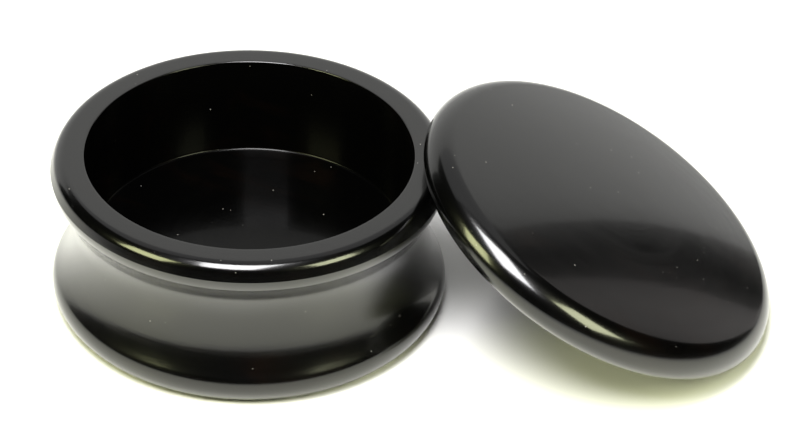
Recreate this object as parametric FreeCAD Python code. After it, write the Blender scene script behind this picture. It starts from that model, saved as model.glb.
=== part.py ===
import FreeCAD, Part
import math
import os

from FreeCAD import Vector

# Go stone bowl with its lid. Both are turned from solid wood. The bowl is open, and the lid leans on its rim.
# Frame: millimetres, origin at the centre of the bowl's foot, +Z up, the lid leaning toward +X.

# Bowl, outside
bowl_radius = 75.0          # outermost radius of the rim
bowl_height = 63.6          # foot to the crest of the rim
rim_width = 12.8            # mouth edge to the outside of the rim
rim_crown_radius = 130.0    # arc that lets the rim ring fall a little to the outside
rim_round = 5.0             # round from the rim ring into the side of the rim
rim_face = 0.8              # upright face under that round, down to the crisp lower edge
neck_inset = 8.0            # rim radius less the radius of the neck
waist_radius = 45.0         # hollow curve from the neck down to the belly
belly_overhang = 0.4        # belly radius beyond the rim radius
belly_round = 8.4           # round from the waist curve down to the foot

# Bowl, underside and hollow
foot_width = 14.0           # standing ring, from the belly round in to the recess
foot_recess_depth = 2.5
foot_recess_draft = 1.5     # how much the recess narrows toward its ceiling
floor_height = 24.0         # foot to the floor of the hollow
wall_taper = 2.4            # mouth radius less the radius at the floor
floor_round = 1.2           # round between wall and floor
mouth_edge_round = 0.5      # eased edge of the mouth

# Lid
lid_overhang = 0.0          # lid radius beyond the rim radius
lid_lower_round = 7.0       # edge, from the seat ring up to the widest line
lid_upper_round = 9.2       # edge, from the widest line up to the crown
lid_crown_radius = 400.0    # nearly flat dome
spigot_clearance = 0.9      # air per side between the spigot's root and the mouth
spigot_depth = 3.2
spigot_draft = 30.0         # degrees off the lid's axis, so that the lid centres itself
spigot_face_width = 9.0     # flat ring between the spigot's flank and the dish
spigot_edge_round = 0.8
dish_depth = 10.0           # hollow under the lid, measured from the spigot's face
dish_edge_round = 1.0

# Leaning lid
rest_gap = 0.12             # air between the lid's seat ring and the rim it lies on
flank_gap = 0.3             # air between the spigot's flank and the rim


def point(radius, height):
    """A point of a turning profile."""
    return Vector(radius, 0, height)


def line(start, end):
    return Part.LineSegment(point(*start), point(*end)).toShape()


def on_circle(center, radius, degrees):
    """The point of a circle in the profile plane, angles measured from the outward direction."""
    turn = math.radians(degrees)
    return (center[0] + radius * math.cos(turn), center[1] + radius * math.sin(turn))


def arc(center, radius, start, end):
    """An arc of a turning profile from one angle to another."""
    spots = [point(*on_circle(center, radius, angle)) for angle in (start, (start + end) / 2, end)]
    return Part.Arc(*spots).toShape()


def direction(start, end):
    """Angle in degrees of the way from start to end in the profile plane."""
    return math.degrees(math.atan2(end[1] - start[1], end[0] - start[0]))


def turned(edges):
    """The solid that a closed half profile sweeps about the axis."""
    return Part.Face(Part.Wire(edges)).revolve(Vector(0, 0, 0), Vector(0, 0, 1), 360)


def eased(solid, size, spot):
    """The solid with its circular edge through one profile point rounded."""
    radius, height = spot
    found = []
    for edge in solid.Edges:
        middle = edge.valueAt(edge.FirstParameter)
        off = math.hypot(math.hypot(middle.x, middle.y) - radius, middle.z - height)
        if off < 0.001 and edge.Curve.TypeId == "Part::GeomCircle":
            found.append(edge)
    return solid.makeFillet(size, found)


# Sizes that follow from the ones above
mouth_radius = bowl_radius - rim_width
neck_radius = bowl_radius - neck_inset
belly_radius = bowl_radius + belly_overhang
lid_radius = bowl_radius + lid_overhang
spigot_radius = mouth_radius - spigot_clearance

# The round of the rim lies inside the crown arc and touches it. The crown arc starts level at the mouth.
crown_center = (mouth_radius, bowl_height - rim_crown_radius)
rim_center_radius = bowl_radius - rim_round
rim_center = (
    rim_center_radius,
    crown_center[1]
    + math.sqrt((rim_crown_radius - rim_round) ** 2 - (rim_center_radius - mouth_radius) ** 2),
)
rim_edge = (bowl_radius, rim_center[1] - rim_face)


def bowl():
    """The bowl: waisted outside, flat rim ring, tapered wall, flat floor and a recess under the foot."""
    # The belly round stands on the table and touches the hollow curve of the waist.
    belly_center = (belly_radius - belly_round, belly_round)
    reach = neck_radius + waist_radius - belly_center[0]
    neck_height = belly_round + math.sqrt((waist_radius + belly_round) ** 2 - reach**2)
    waist_center = (neck_radius + waist_radius, neck_height)
    belly_turn = direction(belly_center, waist_center)

    # Above the neck a second curve, upright at the neck too, runs out to the lower edge of the rim.
    rise = rim_edge[1] - neck_height
    shoulder_radius = (neck_inset**2 + rise**2) / (2 * neck_inset)
    shoulder_center = (neck_radius + shoulder_radius, neck_height)
    shoulder_turn = direction(shoulder_center, rim_edge) % 360

    rim_turn = direction(crown_center, rim_center)
    mouth_edge = (mouth_radius, bowl_height)
    floor_edge = (mouth_radius - wall_taper, floor_height)
    foot_edge = (belly_center[0], 0)
    recess_edge = (belly_center[0] - foot_width, 0)
    recess_corner = (recess_edge[0] - foot_recess_draft, foot_recess_depth)

    solid = turned([
        line((0, foot_recess_depth), recess_corner),
        line(recess_corner, recess_edge),
        line(recess_edge, foot_edge),
        arc(belly_center, belly_round, -90, belly_turn),
        arc(waist_center, waist_radius, 180 + belly_turn, 180),
        arc(shoulder_center, shoulder_radius, 180, shoulder_turn),
        line(rim_edge, (bowl_radius, rim_center[1])),
        arc(rim_center, rim_round, 0, rim_turn),
        arc(crown_center, rim_crown_radius, rim_turn, 90),
        line(mouth_edge, floor_edge),
        line(floor_edge, (0, floor_height)),
        line((0, floor_height), (0, foot_recess_depth)),
    ])
    solid = eased(solid, floor_round, floor_edge)
    return eased(solid, mouth_edge_round, mouth_edge)


def lid():
    """The lid on its own axis, its seat ring at height 0 and its spigot below."""
    edge_center = (lid_radius - lid_lower_round, lid_lower_round)
    upper_center = (lid_radius - lid_upper_round, lid_lower_round)
    crown_drop = math.sqrt((lid_crown_radius - lid_upper_round) ** 2 - upper_center[0] ** 2)
    dome_center = (0, lid_lower_round - crown_drop)
    dome_turn = direction(dome_center, upper_center)

    spigot_face = -spigot_depth
    tip = (spigot_radius - spigot_depth * math.tan(math.radians(spigot_draft)), spigot_face)
    dish_edge = (tip[0] - spigot_face_width, spigot_face)
    dish_radius = (dish_edge[0] ** 2 + dish_depth**2) / (2 * dish_depth)
    dish_center = (0, spigot_face + dish_depth - dish_radius)
    dish_top = (0, spigot_face + dish_depth)

    solid = turned([
        arc(dish_center, dish_radius, 90, direction(dish_center, dish_edge)),
        line(dish_edge, tip),
        line(tip, (spigot_radius, 0)),
        line((spigot_radius, 0), (edge_center[0], 0)),
        arc(edge_center, lid_lower_round, -90, 0),
        arc(upper_center, lid_upper_round, 0, dome_turn),
        arc(dome_center, lid_crown_radius, dome_turn, 90),
        line((0, dome_center[1] + lid_crown_radius), dish_top),
    ])
    solid = eased(solid, dish_edge_round, dish_edge)
    return eased(solid, spigot_edge_round, tip)


def leaned(solid):
    """The lid as it leans: its seat ring lies on the rim, and its far edge stands on the table."""
    # In the lid's frame the rim's round sits under the seat ring, just outside the spigot's flank.
    draft = math.radians(spigot_draft)
    below_seat = rim_round + rest_gap
    beside_root = (rim_round + flank_gap - below_seat * math.sin(draft)) / math.cos(draft)
    contact_radius = spigot_radius + beside_root

    # The lean angle brings the lid's lower round down to the table at the same time.
    along = lid_radius - lid_lower_round + contact_radius
    across = below_seat + lid_lower_round
    climb = rim_center[1] - lid_lower_round
    lean = math.asin(climb / math.hypot(along, across)) + math.atan2(across, along)

    seat_x = rim_center[0] + contact_radius * math.cos(lean) + below_seat * math.sin(lean)
    seat_z = rim_center[1] - contact_radius * math.sin(lean) + below_seat * math.cos(lean)
    placed = solid.copy()
    placed.rotate(Vector(0, 0, 0), Vector(0, 1, 0), math.degrees(lean))
    placed.translate(Vector(seat_x, 0, seat_z))
    print("lean", round(math.degrees(lean), 2), "degrees, seat centre at", round(seat_x, 2), round(seat_z, 2))
    return placed


os.makedirs("parts", exist_ok=True)
bowl().exportStep("parts/bowl.step")
leaned(lid()).exportStep("parts/lid.step")
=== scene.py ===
import bpy
import math
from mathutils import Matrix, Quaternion, Vector


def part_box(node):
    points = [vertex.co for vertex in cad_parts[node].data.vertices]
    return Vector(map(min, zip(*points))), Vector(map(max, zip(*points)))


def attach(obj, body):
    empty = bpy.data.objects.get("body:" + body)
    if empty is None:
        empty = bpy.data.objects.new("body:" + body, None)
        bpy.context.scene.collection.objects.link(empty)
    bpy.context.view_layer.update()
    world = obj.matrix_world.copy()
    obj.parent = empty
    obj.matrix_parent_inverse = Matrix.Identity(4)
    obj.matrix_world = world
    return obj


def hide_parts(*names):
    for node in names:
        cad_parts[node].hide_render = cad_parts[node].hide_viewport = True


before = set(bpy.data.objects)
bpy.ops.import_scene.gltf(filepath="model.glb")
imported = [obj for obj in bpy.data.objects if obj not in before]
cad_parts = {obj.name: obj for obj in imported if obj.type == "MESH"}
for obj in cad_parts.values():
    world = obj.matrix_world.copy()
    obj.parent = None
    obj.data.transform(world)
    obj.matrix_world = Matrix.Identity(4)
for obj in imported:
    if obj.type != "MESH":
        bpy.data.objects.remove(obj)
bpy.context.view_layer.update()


# helpers for turning outlines, in metres and degrees

lathe = {
    "blank": 0.01,               # size of the plane that is merged into the first point
    "weld": 0.000002,            # points closer than this are one
    "sharpAbove": 24,            # edges that turn by more than this stay crisp, in degrees
}


def onCircle(center, radius, degrees):
    turn = math.radians(degrees)
    return (center[0] + radius * math.cos(turn), center[1] + radius * math.sin(turn))


def arcPoints(center, radius, start, end, step):
    count = max(2, math.ceil(abs(end - start) / step))
    return [onCircle(center, radius, start + (end - start) * i / count) for i in range(count + 1)]


def heading(start, end):
    return math.degrees(math.atan2(end[1] - start[1], end[0] - start[0]))


def easedCorner(before, corner, after, radius, step):
    # the round that touches both straight sides of a corner
    toBefore = (Vector(before) - Vector(corner)).normalized()
    toAfter = (Vector(after) - Vector(corner)).normalized()
    half = toBefore.angle(toAfter) / 2
    middle = (toBefore + toAfter).normalized() * (radius / math.sin(half))
    center = Vector(corner) + middle
    reach = radius / math.tan(half)
    first = heading(center, Vector(corner) + toBefore * reach)
    last = heading(center, Vector(corner) + toAfter * reach)
    sweep = (last - first + 180) % 360 - 180
    return arcPoints(center, radius, first, first + sweep, step)


def turnPiece(name, outline, steps):
    # a half outline is drawn by extruding one point, then spun about the axis like work on a lathe
    bpy.ops.object.select_all(action="DESELECT")
    bpy.ops.mesh.primitive_plane_add(size=lathe["blank"])
    piece = bpy.context.object
    piece.name = name
    bpy.ops.object.mode_set(mode="EDIT")
    bpy.ops.mesh.select_all(action="SELECT")
    bpy.ops.mesh.merge(type="CENTER")
    bpy.ops.transform.translate(value=(outline[0][0], 0, outline[0][1]))
    for here, there in zip(outline, outline[1:]):
        move = (there[0] - here[0], 0, there[1] - here[1])
        bpy.ops.mesh.extrude_region_move(TRANSFORM_OT_translate={"value": move})
    bpy.ops.mesh.select_all(action="SELECT")
    bpy.ops.mesh.spin(steps=steps, angle=math.tau, center=(0, 0, 0), axis=(0, 0, 1))
    bpy.ops.mesh.select_all(action="SELECT")
    bpy.ops.mesh.remove_doubles(threshold=lathe["weld"])
    bpy.ops.mesh.normals_make_consistent(inside=False)
    bpy.ops.object.mode_set(mode="OBJECT")
    bpy.ops.object.shade_smooth_by_angle(angle=math.radians(lathe["sharpAbove"]))
    return piece


# the bowl

bowlSizes = {
    "mouthRadius": 0.0622,
    "height": 0.0636,
    "rimRadius": 0.075,          # out to the crisp lower edge of the rim
    "rimEdgeHeight": 0.05756,    # height of that edge
    "rimCrown": 0.500,           # the rim ring is nearly level
    "rimRound": 0.0050,          # shoulder between the ring and the side of the rim
    "rimSlope": 21,              # how far the side of the rim leans back, in degrees
    "lipRound": 0.014,           # the slight swell below the rim's edge
    "lipTurns": (-24, -5),       # where that swell ends and begins, in degrees
    "neckRadius": 0.0675,
    "neckHeight": 0.0345,
    "bellyRadius": 0.0754,
    "bellyRound": 0.0084,
    "footWidth": 0.014,
    "recessDepth": 0.0025,
    "recessDraft": 0.0015,
    "floorHeight": 0.024,
    "wallTaper": 0.0024,
    "floorRound": 0.0012,
    "mouthRound": 0.0005,
    "flatEdge": 0.001,           # a ring of points this far from a corner keeps the flat beside it flat
    "floorRings": (0.9, 0.6, 0.3, 0),
    "turns": 288,                # steps round the axis
    "steps": {"round": 3, "waist": 1.5, "lip": 2, "ring": 0.2, "mouth": 12, "floor": 8},    # degrees
}


def bowlOutline(s):
    mouth = (s["mouthRadius"], s["height"])
    floorEdge = (mouth[0] - s["wallTaper"], s["floorHeight"])
    rimEdge = (s["rimRadius"], s["rimEdgeHeight"])

    # the waist touches the belly round, stands upright at the neck and runs out to the lip below the rim
    belly = (s["bellyRadius"] - s["bellyRound"], s["bellyRound"])
    inset, drop = s["neckRadius"] - belly[0], s["neckHeight"] - belly[1]
    lowerCurve = (inset**2 + drop**2 - s["bellyRound"] ** 2) / (2 * (s["bellyRound"] - inset))
    lowerWaist = (s["neckRadius"] + lowerCurve, s["neckHeight"])
    bellyTurn = heading(belly, lowerWaist)
    lip = onCircle(rimEdge, -s["lipRound"], s["lipTurns"][1])     # centre of the swell, inward of the edge
    lipEnd = onCircle(lip, s["lipRound"], s["lipTurns"][0])
    flare, rise = lipEnd[0] - s["neckRadius"], lipEnd[1] - s["neckHeight"]
    upperCurve = (flare**2 + rise**2) / (2 * flare)
    upperWaist = (s["neckRadius"] + upperCurve, s["neckHeight"])
    edgeTurn = heading(upperWaist, lipEnd) % 360

    # side of the rim: a lean-back face, then a round that touches both this face and the ring's curve
    crown = Vector((mouth[0], mouth[1] - s["rimCrown"]))
    outward = Vector(onCircle((0, 0), 1, s["rimSlope"]))
    upward = Vector((-outward.y, outward.x))
    fromCrown = Vector(rimEdge) - outward * s["rimRound"] - crown
    along = fromCrown.dot(upward)
    gap = (s["rimCrown"] - s["rimRound"]) ** 2 - fromCrown.length_squared
    rimCenter = crown + fromCrown + upward * (math.sqrt(along**2 + gap) - along)
    ringTurn = heading(crown, rimCenter)

    # from the middle of the foot recess out, up and over the rim, and down into the hollow
    steps = s["steps"]
    recessEdge = (belly[0] - s["footWidth"], 0)
    recessCorner = (recessEdge[0] - s["recessDraft"], s["recessDepth"])
    outline = [(0, s["recessDepth"]), (recessCorner[0] - s["flatEdge"], s["recessDepth"]), recessCorner]
    outline += [recessEdge, (recessEdge[0] + s["flatEdge"], 0)]
    outline += arcPoints(belly, s["bellyRound"], -90, bellyTurn, steps["round"])
    outline += arcPoints(lowerWaist, lowerCurve, 180 + bellyTurn, 180, steps["waist"])[1:]
    outline += arcPoints(upperWaist, upperCurve, 180, edgeTurn, steps["waist"])[1:]
    outline += arcPoints(lip, s["lipRound"], *s["lipTurns"], steps["lip"])[1:]
    outline += arcPoints(rimCenter, s["rimRound"], s["rimSlope"], ringTurn, steps["round"])
    outline += arcPoints(crown, s["rimCrown"], ringTurn, 90, steps["ring"])[1:-1]
    outline += easedCorner((s["rimRadius"], mouth[1]), mouth, floorEdge, s["mouthRound"], steps["mouth"])
    outline += easedCorner(mouth, floorEdge, (0, s["floorHeight"]), s["floorRound"], steps["floor"])
    outline += [(floorEdge[0] * share, s["floorHeight"]) for share in s["floorRings"]]
    return outline


bowlPiece = turnPiece("bowlTurned", bowlOutline(bowlSizes), bowlSizes["turns"])
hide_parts("bowl")
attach(bowlPiece, "bowl")
print("bowl turned:", len(bowlPiece.data.polygons), "faces")


# the lid

lidSizes = {
    "radius": 0.075,
    "lowerRound": 0.007,         # seat ring up to the widest line
    "upperRound": 0.0092,        # widest line up to the dome
    "crownCurve": 0.400,
    "spigotRadius": 0.0613,
    "spigotDepth": 0.0032,
    "spigotDraft": 30,
    "spigotFace": 0.009,
    "spigotRound": 0.0008,
    "dishDepth": 0.010,
    "dishRound": 0.001,
    "lean": 27.94,               # degrees
    "flatEdge": 0.001,
    "turns": 288,
    "steps": {"dish": 1.5, "dishEdge": 8, "tip": 10, "lower": 3, "upper": 2, "dome": 0.4},
}


def lidOutline(s):
    lower = (s["radius"] - s["lowerRound"], s["lowerRound"])
    upper = (s["radius"] - s["upperRound"], s["lowerRound"])
    dome = (0, upper[1] - math.sqrt((s["crownCurve"] - s["upperRound"]) ** 2 - upper[0] ** 2))
    meet = heading(dome, upper)

    face = -s["spigotDepth"]
    tip = (s["spigotRadius"] - s["spigotDepth"] * math.tan(math.radians(s["spigotDraft"])), face)
    dishEdge = (tip[0] - s["spigotFace"], face)
    dishCurve = (dishEdge[0] ** 2 + s["dishDepth"] ** 2) / (2 * s["dishDepth"])
    dish = (0, face + s["dishDepth"] - dishCurve)
    dishTurn = heading(dish, dishEdge)

    # from the middle of the dish out over the spigot, round the edge and back over the dome
    steps = s["steps"]
    inside = arcPoints(dish, dishCurve, 90, dishTurn, steps["dish"])
    outline = inside[:-1] + easedCorner(inside[-2], dishEdge, tip, s["dishRound"], steps["dishEdge"])
    outline += easedCorner(dishEdge, tip, (s["spigotRadius"], 0), s["spigotRound"], steps["tip"])
    outline += [(s["spigotRadius"], 0), (s["spigotRadius"] + s["flatEdge"], 0)]
    outline += arcPoints(lower, s["lowerRound"], -90, 0, steps["lower"])
    outline += arcPoints(upper, s["upperRound"], 0, meet, steps["upper"])[1:]
    outline += arcPoints(dome, s["crownCurve"], meet, 90, steps["dome"])[1:]
    return outline


def leanLid(piece, s):
    # the lid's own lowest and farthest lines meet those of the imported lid
    low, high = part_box("lid")
    lean = math.radians(s["lean"])
    lowerOut, upperOut = s["radius"] - s["lowerRound"], s["radius"] - s["upperRound"]
    seatX = high[0] - s["upperRound"] - upperOut * math.cos(lean) - s["lowerRound"] * math.sin(lean)
    seatZ = low[2] + s["lowerRound"] + lowerOut * math.sin(lean) - s["lowerRound"] * math.cos(lean)
    bpy.ops.object.select_all(action="DESELECT")
    piece.select_set(True)
    bpy.context.view_layer.objects.active = piece
    bpy.ops.object.mode_set(mode="EDIT")
    bpy.ops.mesh.select_all(action="SELECT")
    bpy.ops.transform.rotate(value=-lean, orient_axis="Y", center_override=(0, 0, 0))
    bpy.ops.transform.translate(value=(seatX, 0, seatZ))
    bpy.ops.object.mode_set(mode="OBJECT")
    return (seatX, 0, seatZ)


lidPiece = turnPiece("lidTurned", lidOutline(lidSizes), lidSizes["turns"])
lidSeat = leanLid(lidPiece, lidSizes)
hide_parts("lid")
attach(lidPiece, "lid")
print("lid turned and leaned:", len(lidPiece.data.polygons), "faces, seat at", [round(v, 4) for v in lidSeat])


# shader maths written as expressions
class Reading:
    # a number that changes over a surface
    def __init__(self, finish, socket):
        self.finish, self.socket = finish, socket

    def math(self, operation, *values):
        return self.finish.node("ShaderNodeMath", {"operation": operation}, dict(enumerate([self, *values])))

    def __add__(self, other):
        return self.math("ADD", other)

    def __mul__(self, other):
        return self.math("MULTIPLY", other)

    def __sub__(self, other):
        return self.math("SUBTRACT", other)

    def __rsub__(self, other):
        return (self * -1) + other

    def __truediv__(self, other):
        return self.math("DIVIDE", other)

    def __pow__(self, other):
        return self.math("POWER", other)

    def __gt__(self, other):
        return self.math("GREATER_THAN", other)

    def __lt__(self, other):
        return self.math("LESS_THAN", other)

    __radd__ = __add__
    __rmul__ = __mul__

    def clamped(self):
        return self.math("MAXIMUM", 0).math("MINIMUM", 1)

    def between(self, low, high):
        # 0 at low and below, 1 at high and above
        return ((self - low) / (high - low)).clamped()


class Finish:
    def __init__(self, name):
        self.material = bpy.data.materials.new(name)
        self.material.use_nodes = True
        self.tree = self.material.node_tree
        self.tree.nodes.clear()

    def node(self, kind, settings=None, inputs=None, output=0):
        made = self.tree.nodes.new(kind)
        for key, value in (settings or {}).items():
            setattr(made, key, value)
        for key, value in (inputs or {}).items():
            if isinstance(value, Reading):
                self.tree.links.new(value.socket, made.inputs[key])
            else:
                made.inputs[key].default_value = value
        return Reading(self, made.outputs[output])

    def parts(self, vector):
        split = self.node("ShaderNodeSeparateXYZ", inputs={0: vector}).socket.node
        return [Reading(self, socket) for socket in split.outputs]

    def vector(self, x, y, z):
        return self.node("ShaderNodeCombineXYZ", inputs={0: x, 1: y, 2: z})

    def noise(self, vector, scale, detail=2, roughness=0.5, distortion=0.0):
        inputs = {"Vector": vector, "Scale": scale, "Detail": detail}
        inputs.update({"Roughness": roughness, "Distortion": distortion})
        return self.node("ShaderNodeTexNoise", {"normalize": True}, inputs)

    def mix(self, factor, first, second):
        settings = {"data_type": "RGBA"}
        return self.node("ShaderNodeMix", settings, {0: factor, 6: first, 7: second}, output=2)

    def close(self, shader):
        output = self.tree.nodes.new("ShaderNodeOutputMaterial")
        self.tree.links.new(shader.socket, output.inputs[0])
        return self.material


# black lacquer over turned wood

lacquer = {
    "deepBlack": (0.0004, 0.0004, 0.0004, 1),
    "warmBrown": (0.0020, 0.0009, 0.0005, 1),   # thin lacquer over the grain
    "dust": (0.30, 0.29, 0.27, 1),
    "dustCover": 0.55,
    "thinFigure": (0.50, 0.72),                 # where the grain and the mottle let the brown through
    "thinMottle": (0.45, 0.70),
    "ior": 1.5,
    "specular": 0.45,
    "roughness": 0.20,
    "roughnessSpread": 0.10,
    "fineSpread": 0.08,
    "dustRoughness": 0.4,
    "coat": 0.35,
    "coatRoughness": 0.07,
    "hollowDullness": 0.72,                     # the hollow is left matt, without the outer polish
    "hollowEdge": (0.0001, 0.0008),             # distances inside the mouth over which it turns matt
    "hollowTop": (0.001, 0.003),                # and the depths below it
    "hollowFloor": 0.002,                       # and how far below the floor it still counts
    "mattRoughness": 0.6,
    "turningPitch": 0.0012,                     # distance between tool marks, metres
    "radialShare": 0.8,                         # how closely marks follow each other away from the axis
    "markLength": 0.9,                          # smaller is longer, round the axis
    "bandLength": 0.4,
    "bandPitch": 0.13,
    "poreScale": (90, 900, 900),                # along the grain, then across it
    "figureScale": (9, 60, 60),
    "mottleScale": 38,
    "waveScale": 120,
    "dustScale": 330,
    "dustSize": (0.045, 0.05),                  # smallest speck, and what the largest adds, in cells
    "dustRarity": 0.87,                         # share of the cells without a speck
    "turningBump": 0.34,
    "grainBump": 0.30,
    "waveBump": 0.50,
    "dustBump": 0.3,
    "bumpStrength": 0.5,
    "bumpDistance": 0.00012,
}


def lacquerFinish(name, axisPlace, lean, grainTurn, hollow=None):
    f = Finish(name)
    place = f.node("ShaderNodeTexCoord", output=3)
    # the pattern is centred on the piece's own turning axis
    onAxis = f.node(
        "ShaderNodeMapping",
        {"vector_type": "TEXTURE"},
        {"Vector": place, "Location": axisPlace, "Rotation": (0, math.radians(lean), 0)},
    )
    x, y, z = f.parts(onAxis)
    radius = (x * x + y * y + 1e-9) ** 0.5      # never quite zero, because it is divided by

    # tool marks run round the axis: slow change along the turn, quick change across it
    across = (radius * lacquer["radialShare"] + z) / lacquer["turningPitch"]
    markLength, bandLength = lacquer["markLength"], lacquer["bandLength"]
    marks = f.noise(f.vector(x / radius * markLength, y / radius * markLength, across), 1.0, 3, 0.6)
    bandAcross = across * lacquer["bandPitch"]
    bands = f.noise(f.vector(x / radius * bandLength, y / radius * bandLength, bandAcross), 1.0, 2, 0.5)

    # straight grain of the board below the lacquer
    turned = f.node("ShaderNodeMapping", {}, {"Vector": onAxis, "Rotation": (0, 0, math.radians(grainTurn))})
    poreVector, figureVector = [
        f.vector(*[part * scale for part, scale in zip(f.parts(turned), scales)])
        for scales in (lacquer["poreScale"], lacquer["figureScale"])
    ]
    pores = f.noise(poreVector, 1.0, 3, 0.6)
    figure = f.noise(figureVector, 1.0, 4, 0.6, 0.6)
    mottle = f.noise(onAxis, lacquer["mottleScale"], 3, 0.6)
    waves = f.noise(onAxis, lacquer["waveScale"], 1, 0.4)

    # dust: rare small dots of several sizes
    cellInputs = {"Vector": onAxis, "Scale": lacquer["dustScale"], "Randomness": 1}
    cells = f.node("ShaderNodeTexVoronoi", {"feature": "F1"}, cellInputs)
    pick = f.parts(Reading(f, cells.socket.node.outputs["Color"]))
    smallest, spread = lacquer["dustSize"]
    mote = (cells < (pick[1] * spread + smallest)) * (pick[0] > lacquer["dustRarity"])

    thin = figure.between(*lacquer["thinFigure"]) * mottle.between(*lacquer["thinMottle"])
    colour = f.mix(thin, lacquer["deepBlack"], lacquer["warmBrown"])
    colour = f.mix(mote * lacquer["dustCover"], colour, lacquer["dust"])
    fineSpread = lacquer["fineSpread"]
    rough = lacquer["roughness"] + (bands - 0.5) * lacquer["roughnessSpread"] + (mottle - 0.5) * fineSpread
    rough = (rough + (marks - 0.5) * fineSpread + mote * lacquer["dustRoughness"]).clamped()

    height = waves * lacquer["waveBump"] + marks * lacquer["turningBump"] + pores * lacquer["grainBump"]
    height = height + mote * lacquer["dustBump"]
    bump = {"Strength": lacquer["bumpStrength"], "Distance": lacquer["bumpDistance"], "Height": height}
    normal = f.node("ShaderNodeBump", {}, bump)
    shader = f.node(
        "ShaderNodeBsdfPrincipled",
        {},
        {
            "Base Color": colour,
            "Roughness": rough,
            "IOR": lacquer["ior"],
            "Specular IOR Level": lacquer["specular"],
            "Coat Weight": lacquer["coat"],
            "Coat Roughness": lacquer["coatRoughness"],
            "Normal": normal,
        },
    )
    if hollow:
        mouthRadius, mouthHeight, floorHeight = hollow
        near, deep = lacquer["hollowEdge"]
        high, low = lacquer["hollowTop"]
        inside = 1 - radius.between(mouthRadius - deep, mouthRadius - near)
        inside = inside * (1 - z.between(mouthHeight - low, mouthHeight - high))
        inside = inside * (z > floorHeight - lacquer["hollowFloor"])
        mattInputs = {"Color": colour, "Roughness": lacquer["mattRoughness"], "Normal": normal}
        matt = f.node("ShaderNodeBsdfDiffuse", {}, mattInputs)
        dull = inside * lacquer["hollowDullness"]
        shader = f.node("ShaderNodeMixShader", {}, {0: dull, 1: shader, 2: matt})
    return f.close(shader)


bowlHollow = (bowlSizes["mouthRadius"], bowlSizes["height"], bowlSizes["floorHeight"])
bowlPiece.data.materials.append(lacquerFinish("bowlLacquer", (0, 0, 0), 0, 20, bowlHollow))
lidPiece.data.materials.append(lacquerFinish("lidLacquer", lidSeat, lidSizes["lean"], 12))
print("lacquer on both pieces")


# floor, lights and camera

table = {
    "white": (0.90, 0.90, 0.885, 1),
    "warm": (0.88, 0.88, 0.855, 1),
    "size": 8.0,
    "patchScale": 5,
    "roughness": 0.35,
    "specular": 0.3,
}

bpy.ops.object.select_all(action="DESELECT")
bpy.ops.mesh.primitive_plane_add(size=table["size"], location=(0, 0, 0))
floor = bpy.context.object
floor.name = "floor"
tableFinish = Finish("paleTable")
tablePlace = tableFinish.node("ShaderNodeTexCoord", output=3)
tablePatches = tableFinish.noise(tablePlace, table["patchScale"], 3)
tableShade = tableFinish.mix(tablePatches, table["white"], table["warm"])
floor.data.materials.append(
    tableFinish.close(
        tableFinish.node(
            "ShaderNodeBsdfPrincipled",
            {},
            {
                "Base Color": tableShade,
                "Roughness": table["roughness"],
                "Specular IOR Level": table["specular"],
            },
        )
    )
)

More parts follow.
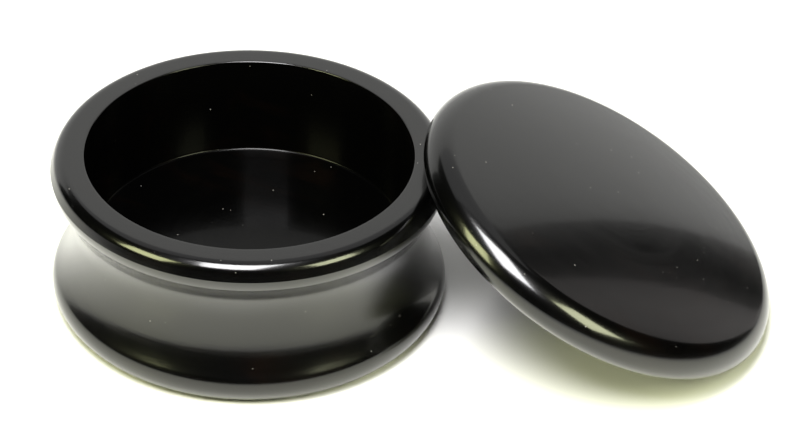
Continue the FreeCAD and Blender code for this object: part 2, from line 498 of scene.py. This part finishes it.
# brightness is the light's own radiance
lights = {
    "keyPanel": {"place": (-0.06, -0.46, 1.12), "aim": (0, -0.06, 0.06), "wide": 0.50, "tall": 0.76,
                 "brightness": 24, "colour": (1.0, 0.99, 1.0)},
    "leftLamp": {"place": (-0.32, -0.26, 0.29), "aim": (0, -0.06, 0.06), "wide": 0.20, "tall": 0.21,
                 "brightness": 11, "colour": (1.0, 1.03, 0.56)},
    "rightLamp": {"place": (0.30, -0.24, 0.26), "aim": (0.08, -0.06, 0.05), "wide": 0.16, "tall": 0.17,
                  "brightness": 11, "colour": (1.0, 1.03, 0.68)},
    "backdrop": {"place": (-0.38, 0.90, 0.47), "aim": (-0.38, 0, 0.47), "wide": 2.24, "tall": 0.94,
                 "brightness": 0.9, "colour": (1.0, 1.0, 0.97)},
    "ceiling": {"place": (0, 0.75, 1.45), "aim": (0, 0, 0.05), "wide": 1.8, "tall": 1.0,
                "brightness": 0.55, "colour": (1.0, 1.0, 1.0)},
    "sideCard": {"place": (0.77, 0.57, 0.46), "aim": (0.16, -0.04, 0.46), "wide": 0.14, "tall": 0.88,
                 "brightness": 0.6, "colour": (1.0, 0.95, 0.92)},
}


def addPanel(name, facts):
    bpy.ops.object.light_add(type="AREA", location=facts["place"])
    panel = bpy.context.object
    panel.name = name
    panel.data.shape = "RECTANGLE"
    panel.data.size, panel.data.size_y = facts["wide"], facts["tall"]
    panel.data.energy = facts["brightness"] * math.pi * facts["wide"] * facts["tall"]
    panel.data.color = facts["colour"]
    panel.rotation_mode = "QUATERNION"
    panel.rotation_quaternion = (Vector(facts["aim"]) - Vector(facts["place"])).to_track_quat("-Z", "Y")
    panel.visible_camera = False


for name, facts in lights.items():
    addPanel(name, facts)

roomGlow = (0.005, 0.005, 0.005, 1)
world = bpy.data.worlds.new("darkRoom")
world.use_nodes = True
world.node_tree.nodes["Background"].inputs[0].default_value = roomGlow
bpy.context.scene.world = world

viewpoint = {
    "aim": (0.05637, 0.01985, 0.02368),
    "turn": 3.02,            # degrees from straight in front, toward the lid
    "height": 35.44,         # degrees above the table
    "distance": 1.3864,
    "roll": 1.82,
    "lens": 161.34,
    "clip": (0.05, 30),
}


def addCamera(v):
    turn, height = math.radians(v["turn"]), math.radians(v["height"])
    back = Vector((math.sin(turn) * math.cos(height), -math.cos(turn) * math.cos(height), math.sin(height)))
    bpy.ops.object.camera_add(location=Vector(v["aim"]) + back * v["distance"])
    camera = bpy.context.object
    camera.rotation_mode = "QUATERNION"
    roll = Quaternion((0, 0, 1), math.radians(v["roll"]))
    camera.rotation_quaternion = (-back).to_track_quat("-Z", "Y") @ roll
    camera.data.lens = v["lens"]
    camera.data.clip_start, camera.data.clip_end = v["clip"]
    return camera


bpy.context.scene.camera = addCamera(viewpoint)
bpy.context.scene.view_settings.view_transform = "Standard"
print("table, lights and camera set")
